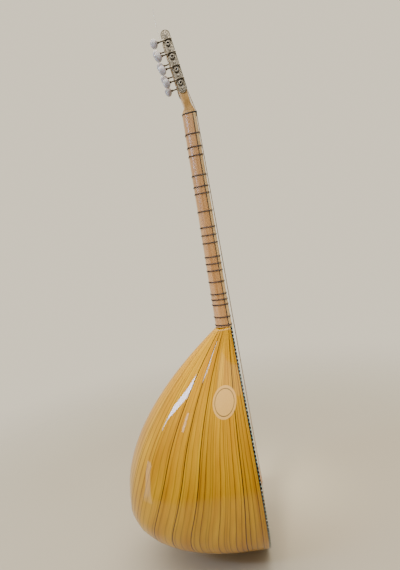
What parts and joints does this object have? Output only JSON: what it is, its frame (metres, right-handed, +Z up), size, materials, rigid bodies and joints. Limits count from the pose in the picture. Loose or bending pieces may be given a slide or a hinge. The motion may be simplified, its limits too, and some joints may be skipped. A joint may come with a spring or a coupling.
{
  "type": "short-neck saz",
  "caption": "Lute with a deep staved pear-shaped bowl, flat soundboard, tied movable frets and open geared tuners on a slotted headstock.",
  "frame": {"origin": "middle of the bounding box's base, under the tail of the bowl", "axes": "+Z up along the neck, -Y out of the soundboard, X across the width"},
  "size_m": [0.25, 0.253, 0.9891],
  "materials": {
    "neck wood": "satin varnish",
    "fingerboard wood": "satin varnish",
    "lacquered stave wood": "high-gloss lacquer",
    "spruce": "satin lacquer",
    "inner wood": "bare",
    "ebony": "polished",
    "shell mosaic": "gloss",
    "brown nylon": "satin",
    "nickel plate": "engraved nickel",
    "pearl and steel": "pearl gloss",
    "plain steel": "bright drawn",
    "wound bronze": "wound"
  },
  "bodies": {
    "saz": {"bowl_back_staves": "lacquered stave wood", "bowl_far_staves": "lacquered stave wood", "bowl_near_staves": "lacquered stave wood", "bridge": "neck wood", "edge_binding": "shell mosaic", "fingerboard": "fingerboard wood", "headstock": "neck wood", "neck": "neck wood", "neck_block": "inner wood", "neck_veneer": "ebony", "nut": "ebony", "soundboard": "spruce", "soundboard_brace": "inner wood", "string_1": "plain steel", "string_2": "plain steel", "string_3": "wound bronze", "string_4": "plain steel", "string_5": "wound bronze", "string_6": "plain steel", "string_7": "wound bronze", "string_tail": "plain steel", "tail_block": "inner wood", "tail_piece": "ebony", "tuner_plate_far": "nickel plate", "tuner_plate_near": "nickel plate"},
    "tuner_shaft_near_1": {"tuner_shaft_near_1": "pearl and steel"},
    "tuner_roller_near_1": {"tuner_roller_near_1": "nickel plate"},
    "tuner_shaft_near_2": {"tuner_shaft_near_2": "pearl and steel"},
    "tuner_roller_near_2": {"tuner_roller_near_2": "nickel plate"},
    "tuner_shaft_near_3": {"tuner_shaft_near_3": "pearl and steel"},
    "tuner_roller_near_3": {"tuner_roller_near_3": "nickel plate"},
    "tuner_shaft_near_4": {"tuner_shaft_near_4": "pearl and steel"},
    "tuner_roller_near_4": {"tuner_roller_near_4": "nickel plate"},
    "tuner_shaft_far_1": {"tuner_shaft_far_1": "pearl and steel"},
    "tuner_roller_far_1": {"tuner_roller_far_1": "nickel plate"},
    "tuner_shaft_far_2": {"tuner_shaft_far_2": "pearl and steel"},
    "tuner_roller_far_2": {"tuner_roller_far_2": "nickel plate"},
    "tuner_shaft_far_3": {"tuner_shaft_far_3": "pearl and steel"},
    "tuner_roller_far_3": {"tuner_roller_far_3": "nickel plate"},
    "tuner_shaft_far_4": {"tuner_shaft_far_4": "pearl and steel"},
    "tuner_roller_far_4": {"tuner_roller_far_4": "nickel plate"},
    "fret_01": {"fret_01": "brown nylon"},
    "fret_02": {"fret_02": "brown nylon"},
    "fret_03": {"fret_03": "brown nylon"},
    "fret_04": {"fret_04": "brown nylon"},
    "fret_05": {"fret_05": "brown nylon"},
    "fret_06": {"fret_06": "brown nylon"},
    "fret_07": {"fret_07": "brown nylon"},
    "fret_08": {"fret_08": "brown nylon"},
    "fret_09": {"fret_09": "brown nylon"},
    "fret_10": {"fret_10": "brown nylon"},
    "fret_11": {"fret_11": "brown nylon"},
    "fret_12": {"fret_12": "brown nylon"},
    "fret_13": {"fret_13": "brown nylon"},
    "fret_14": {"fret_14": "brown nylon"},
    "fret_15": {"fret_15": "brown nylon"},
    "fret_16": {"fret_16": "brown nylon"},
    "fret_17": {"fret_17": "brown nylon"},
    "fret_18": {"fret_18": "brown nylon"},
    "fret_19": {"fret_19": "brown nylon"}
  },
  "joints": [
    {"name": "tuner_shaft_near_1_spin", "type": "hinge", "parent": "saz", "child": "tuner_shaft_near_1", "pos_m": [-0.0211, -0.10072, 0.86477], "axis": [0, 0.9895, -0.1444], "continuous": true},
    {"name": "tuner_roller_near_1_spin", "type": "hinge", "parent": "saz", "child": "tuner_roller_near_1", "pos_m": [0, -0.10154, 0.85913], "axis": [1, 0, 0], "continuous": true},
    {"name": "tuner_shaft_near_2_spin", "type": "hinge", "parent": "saz", "child": "tuner_shaft_near_2", "pos_m": [-0.0211, -0.09749, 0.88694], "axis": [0, 0.9895, -0.1444], "continuous": true},
    {"name": "tuner_roller_near_2_spin", "type": "hinge", "parent": "saz", "child": "tuner_roller_near_2", "pos_m": [0, -0.09831, 0.8813], "axis": [1, 0, 0], "continuous": true},
    {"name": "tuner_shaft_near_3_spin", "type": "hinge", "parent": "saz", "child": "tuner_shaft_near_3", "pos_m": [-0.0211, -0.09425, 0.9091], "axis": [0, 0.9895, -0.1444], "continuous": true},
    {"name": "tuner_roller_near_3_spin", "type": "hinge", "parent": "saz", "child": "tuner_roller_near_3", "pos_m": [0, -0.09507, 0.90346], "axis": [1, 0, 0], "continuous": true},
    {"name": "tuner_shaft_near_4_spin", "type": "hinge", "parent": "saz", "child": "tuner_shaft_near_4", "pos_m": [-0.0211, -0.09102, 0.93127], "axis": [0, 0.9895, -0.1444], "continuous": true},
    {"name": "tuner_roller_near_4_spin", "type": "hinge", "parent": "saz", "child": "tuner_roller_near_4", "pos_m": [0, -0.09184, 0.92563], "axis": [1, 0, 0], "continuous": true},
    {"name": "tuner_shaft_far_1_spin", "type": "hinge", "parent": "saz", "child": "tuner_shaft_far_1", "pos_m": [0.0211, -0.10072, 0.86477], "axis": [0, 0.9895, -0.1444], "continuous": true},
    {"name": "tuner_roller_far_1_spin", "type": "hinge", "parent": "saz", "child": "tuner_roller_far_1", "pos_m": [0, -0.10154, 0.85913], "axis": [1, 0, 0], "continuous": true},
    {"name": "tuner_shaft_far_2_spin", "type": "hinge", "parent": "saz", "child": "tuner_shaft_far_2", "pos_m": [0.0211, -0.09749, 0.88694], "axis": [0, 0.9895, -0.1444], "continuous": true},
    {"name": "tuner_roller_far_2_spin", "type": "hinge", "parent": "saz", "child": "tuner_roller_far_2", "pos_m": [0, -0.09831, 0.8813], "axis": [1, 0, 0], "continuous": true},
    {"name": "tuner_shaft_far_3_spin", "type": "hinge", "parent": "saz", "child": "tuner_shaft_far_3", "pos_m": [0.0211, -0.09425, 0.9091], "axis": [0, 0.9895, -0.1444], "continuous": true},
    {"name": "tuner_roller_far_3_spin", "type": "hinge", "parent": "saz", "child": "tuner_roller_far_3", "pos_m": [0, -0.09507, 0.90346], "axis": [1, 0, 0], "continuous": true},
    {"name": "tuner_shaft_far_4_spin", "type": "hinge", "parent": "saz", "child": "tuner_shaft_far_4", "pos_m": [0.0211, -0.09102, 0.93127], "axis": [0, 0.9895, -0.1444], "continuous": true},
    {"name": "tuner_roller_far_4_spin", "type": "hinge", "parent": "saz", "child": "tuner_roller_far_4", "pos_m": [0, -0.09184, 0.92563], "axis": [1, 0, 0], "continuous": true},
    {"name": "fret_01_slide", "type": "slide", "parent": "saz", "child": "fret_01", "axis": [0, 0, 1], "range_m": [-0.003, 0.003]},
    {"name": "fret_02_slide", "type": "slide", "parent": "saz", "child": "fret_02", "axis": [0, 0, 1], "range_m": [-0.003, 0.003]},
    {"name": "fret_03_slide", "type": "slide", "parent": "saz", "child": "fret_03", "axis": [0, 0, 1], "range_m": [-0.003, 0.003]},
    {"name": "fret_04_slide", "type": "slide", "parent": "saz", "child": "fret_04", "axis": [0, 0, 1], "range_m": [-0.003, 0.003]},
    {"name": "fret_05_slide", "type": "slide", "parent": "saz", "child": "fret_05", "axis": [0, 0, 1], "range_m": [-0.003, 0.003]},
    {"name": "fret_06_slide", "type": "slide", "parent": "saz", "child": "fret_06", "axis": [0, 0, 1], "range_m": [-0.003, 0.003]},
    {"name": "fret_07_slide", "type": "slide", "parent": "saz", "child": "fret_07", "axis": [0, 0, 1], "range_m": [-0.003, 0.003]},
    {"name": "fret_08_slide", "type": "slide", "parent": "saz", "child": "fret_08", "axis": [0, 0, 1], "range_m": [-0.003, 0.003]},
    {"name": "fret_09_slide", "type": "slide", "parent": "saz", "child": "fret_09", "axis": [0, 0, 1], "range_m": [-0.003, 0.003]},
    {"name": "fret_10_slide", "type": "slide", "parent": "saz", "child": "fret_10", "axis": [0, 0, 1], "range_m": [-0.003, 0.003]},
    {"name": "fret_11_slide", "type": "slide", "parent": "saz", "child": "fret_11", "axis": [0, 0, 1], "range_m": [-0.003, 0.003]},
    {"name": "fret_12_slide", "type": "slide", "parent": "saz", "child": "fret_12", "axis": [0, 0, 1], "range_m": [-0.003, 0.003]},
    {"name": "fret_13_slide", "type": "slide", "parent": "saz", "child": "fret_13", "axis": [0, 0, 1], "range_m": [-0.003, 0.003]},
    {"name": "fret_14_slide", "type": "slide", "parent": "saz", "child": "fret_14", "axis": [0, 0, 1], "range_m": [-0.003, 0.003]},
    {"name": "fret_15_slide", "type": "slide", "parent": "saz", "child": "fret_15", "axis": [0, 0, 1], "range_m": [-0.003, 0.003]},
    {"name": "fret_16_slide", "type": "slide", "parent": "saz", "child": "fret_16", "axis": [0, 0, 1], "range_m": [-0.003, 0.003]},
    {"name": "fret_17_slide", "type": "slide", "parent": "saz", "child": "fret_17", "axis": [0, 0, 1], "range_m": [-0.003, 0.003]},
    {"name": "fret_18_slide", "type": "slide", "parent": "saz", "child": "fret_18", "axis": [0, 0, 1], "range_m": [-0.003, 0.003]},
    {"name": "fret_19_slide", "type": "slide", "parent": "saz", "child": "fret_19", "axis": [0, 0, 1], "range_m": [-0.0025, 0.003]}
  ],
  "couplings": [
    {"joint": "tuner_roller_near_1_spin", "follows": "tuner_shaft_near_1_spin", "ratio": 0.071429},
    {"joint": "tuner_roller_near_2_spin", "follows": "tuner_shaft_near_2_spin", "ratio": 0.071429},
    {"joint": "tuner_roller_near_3_spin", "follows": "tuner_shaft_near_3_spin", "ratio": 0.071429},
    {"joint": "tuner_roller_near_4_spin", "follows": "tuner_shaft_near_4_spin", "ratio": 0.071429},
    {"joint": "tuner_roller_far_1_spin", "follows": "tuner_shaft_far_1_spin", "ratio": 0.071429},
    {"joint": "tuner_roller_far_2_spin", "follows": "tuner_shaft_far_2_spin", "ratio": 0.071429},
    {"joint": "tuner_roller_far_3_spin", "follows": "tuner_shaft_far_3_spin", "ratio": 0.071429},
    {"joint": "tuner_roller_far_4_spin", "follows": "tuner_shaft_far_4_spin", "ratio": 0.071429}
  ]
}
